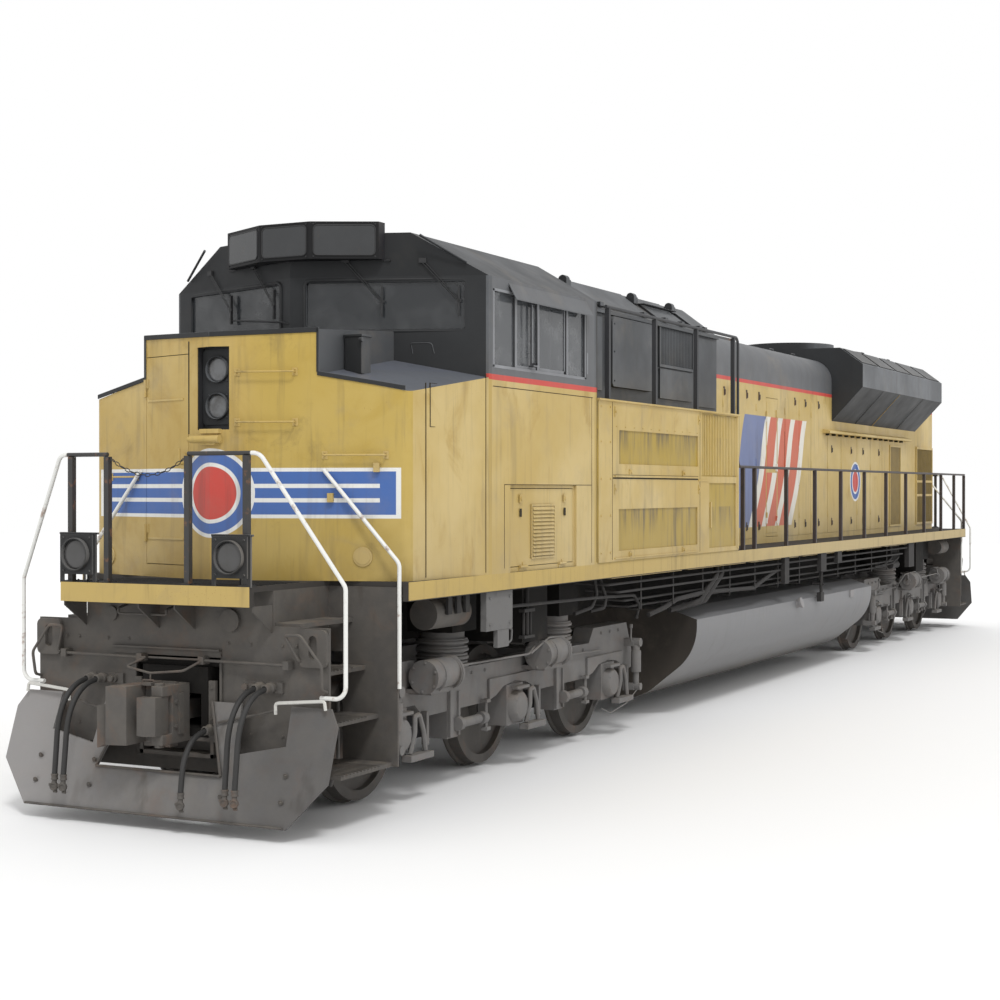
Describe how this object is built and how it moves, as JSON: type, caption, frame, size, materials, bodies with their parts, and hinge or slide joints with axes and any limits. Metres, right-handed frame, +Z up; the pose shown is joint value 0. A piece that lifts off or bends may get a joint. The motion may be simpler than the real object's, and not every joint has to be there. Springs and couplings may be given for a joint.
{
  "type": "diesel locomotive",
  "caption": "Six-axle hood-type diesel freight locomotive with a wide nose, flared radiator and two three-axle trucks, for hauling trains.",
  "frame": {"origin": "on the centre line, midway between the couplers, level with the lowest point of the wheel flanges", "axes": "+Y towards the rear, so the cab and its nose face -Y; +X to the locomotive's left; +Z up"},
  "size_m": [3.26, 22.72, 4.6998],
  "materials": {
    "grey_paint": "weathered satin paint",
    "truck_grey": "dusty paint",
    "yellow_paint": "weathered gloss paint",
    "black_paint": "matt paint",
    "white_paint": "gloss paint",
    "rusty_iron": "rusted casting",
    "dark_iron": "oily casting",
    "wheel_steel": "rolled steel with a bright tread",
    "window_glass": "tinted glass",
    "seat_fabric": "woven",
    "lamp_metal": "reflector",
    "hose_rubber": "worn black rubber"
  },
  "bodies": {
    "locomotive": {"air_reservoirs": "grey_paint", "brake_pipe_hose": "hose_rubber", "cab_floor": "black_paint", "cab_front_wall": "yellow_paint", "cab_glass": "window_glass", "cab_rear_wall": "yellow_paint", "cab_roof": "grey_paint", "cab_seats": "seat_fabric", "cab_side_walls": "yellow_paint", "control_desks": "black_paint", "control_hose_left": "hose_rubber", "control_hose_right": "hose_rubber", "electrical_cabinet": "yellow_paint", "end_handrails": "white_paint", "engine_block": "dark_iron", "engine_hood": "yellow_paint", "equipment_housing": "grey_paint", "exhaust_stack": "dark_iron", "fuel_tank": "grey_paint", "hose_couplings": "rusty_iron", "hose_ports": "dark_iron", "lamps": "lamp_metal", "main_reservoir_hose_left": "hose_rubber", "main_reservoir_hose_right": "hose_rubber", "nose": "yellow_paint", "number_boards": "black_paint", "pilots": "grey_paint", "ploughs": "black_paint", "radiator_housing": "grey_paint", "side_handrails": "white_paint", "underframe": "grey_paint"},
    "front_truck": {"front_truck_frame": "truck_grey", "front_truck_gear": "truck_grey", "front_traction_motors": "dark_iron"},
    "rear_truck": {"rear_truck_frame": "truck_grey", "rear_truck_gear": "truck_grey", "rear_traction_motors": "dark_iron"},
    "front_coupler": {"front_coupler": "rusty_iron"},
    "rear_coupler": {"rear_coupler": "rusty_iron"},
    "front_knuckle": {"front_knuckle": "rusty_iron"},
    "rear_knuckle": {"rear_knuckle": "rusty_iron"},
    "nose_door": {"nose_door": "yellow_paint"},
    "cab_door": {"cab_door": "yellow_paint"},
    "battery_hatch": {"battery_hatch": "yellow_paint"},
    "left_engine_door": {"left_engine_door": "yellow_paint"},
    "right_engine_door": {"right_engine_door": "yellow_paint"},
    "wheelset_1": {"wheelset_1": "wheel_steel"},
    "wheelset_2": {"wheelset_2": "wheel_steel"},
    "wheelset_3": {"wheelset_3": "wheel_steel"},
    "wheelset_4": {"wheelset_4": "wheel_steel"},
    "wheelset_5": {"wheelset_5": "wheel_steel"},
    "wheelset_6": {"wheelset_6": "wheel_steel"},
    "radiator_fan_1": {"radiator_fan_1": "dark_iron"},
    "radiator_fan_2": {"radiator_fan_2": "dark_iron"},
    "radiator_fan_3": {"radiator_fan_3": "dark_iron"}
  },
  "joints": [
    {"name": "front_truck_swivel", "type": "hinge", "parent": "locomotive", "child": "front_truck", "pos_m": [0, -7.4, 1.15], "axis": [0, 0, 1], "range_deg": [-3, 3]},
    {"name": "rear_truck_swivel", "type": "hinge", "parent": "locomotive", "child": "rear_truck", "pos_m": [0, 7.4, 1.15], "axis": [0, 0, 1], "range_deg": [-3, 3]},
    {"name": "wheelset_1_spin", "type": "hinge", "parent": "front_truck", "child": "wheelset_1", "pos_m": [0, -9.52, 0.5615], "axis": [1, 0, 0], "continuous": true},
    {"name": "wheelset_2_spin", "type": "hinge", "parent": "front_truck", "child": "wheelset_2", "pos_m": [0, -7.4, 0.5615], "axis": [1, 0, 0], "continuous": true},
    {"name": "wheelset_3_spin", "type": "hinge", "parent": "front_truck", "child": "wheelset_3", "pos_m": [0, -5.28, 0.5615], "axis": [1, 0, 0], "continuous": true},
    {"name": "wheelset_4_spin", "type": "hinge", "parent": "rear_truck", "child": "wheelset_4", "pos_m": [0, 5.28, 0.5615], "axis": [1, 0, 0], "continuous": true},
    {"name": "wheelset_5_spin", "type": "hinge", "parent": "rear_truck", "child": "wheelset_5", "pos_m": [0, 7.4, 0.5615], "axis": [1, 0, 0], "continuous": true},
    {"name": "wheelset_6_spin", "type": "hinge", "parent": "rear_truck", "child": "wheelset_6", "pos_m": [0, 9.52, 0.5615], "axis": [1, 0, 0], "continuous": true},
    {"name": "front_coupler_swing", "type": "hinge", "parent": "locomotive", "child": "front_coupler", "pos_m": [0, -10.25, 0.85], "axis": [0, 0, 1], "range_deg": [-7, 7]},
    {"name": "front_knuckle_open", "type": "hinge", "parent": "front_coupler", "child": "front_knuckle", "pos_m": [0.115, -11.17, 0.85], "axis": [0, 0, 1], "range_deg": [0, 40]},
    {"name": "rear_coupler_swing", "type": "hinge", "parent": "locomotive", "child": "rear_coupler", "pos_m": [0, 10.25, 0.85], "axis": [0, 0, 1], "range_deg": [-7, 7]},
    {"name": "rear_knuckle_open", "type": "hinge", "parent": "rear_coupler", "child": "rear_knuckle", "pos_m": [-0.115, 11.17, 0.85], "axis": [0, 0, 1], "range_deg": [0, 40]},
    {"name": "nose_door_swing", "type": "hinge", "parent": "locomotive", "child": "nose_door", "pos_m": [-0.81322, -10.15237, 2.7], "axis": [0, 0, -1], "range_deg": [0, 100]},
    {"name": "cab_door_swing", "type": "hinge", "parent": "locomotive", "child": "cab_door", "pos_m": [-1.44, -6.478, 3.1], "axis": [0, 0, 1], "range_deg": [0, 95]},
    {"name": "battery_hatch_swing", "type": "hinge", "parent": "locomotive", "child": "battery_hatch", "pos_m": [1.548, -7.64, 1.84], "axis": [0, 1, 0], "range_deg": [0, 95]},
    {"name": "left_engine_door_swing", "type": "hinge", "parent": "locomotive", "child": "left_engine_door", "pos_m": [0.982, 0.4, 2.8], "axis": [0, 0, -1], "range_deg": [0, 110]},
    {"name": "right_engine_door_swing", "type": "hinge", "parent": "locomotive", "child": "right_engine_door", "pos_m": [-0.982, 0.4, 2.8], "axis": [0, 0, 1], "range_deg": [0, 110]},
    {"name": "radiator_fan_1_spin", "type": "hinge", "parent": "locomotive", "child": "radiator_fan_1", "pos_m": [0, 4.475, 4.54], "axis": [0, 0, 1], "continuous": true},
    {"name": "radiator_fan_2_spin", "type": "hinge", "parent": "locomotive", "child": "radiator_fan_2", "pos_m": [0, 6.085, 4.54], "axis": [0, 0, 1], "continuous": true},
    {"name": "radiator_fan_3_spin", "type": "hinge", "parent": "locomotive", "child": "radiator_fan_3", "pos_m": [0, 7.695, 4.54], "axis": [0, 0, 1], "continuous": true}
  ]
}
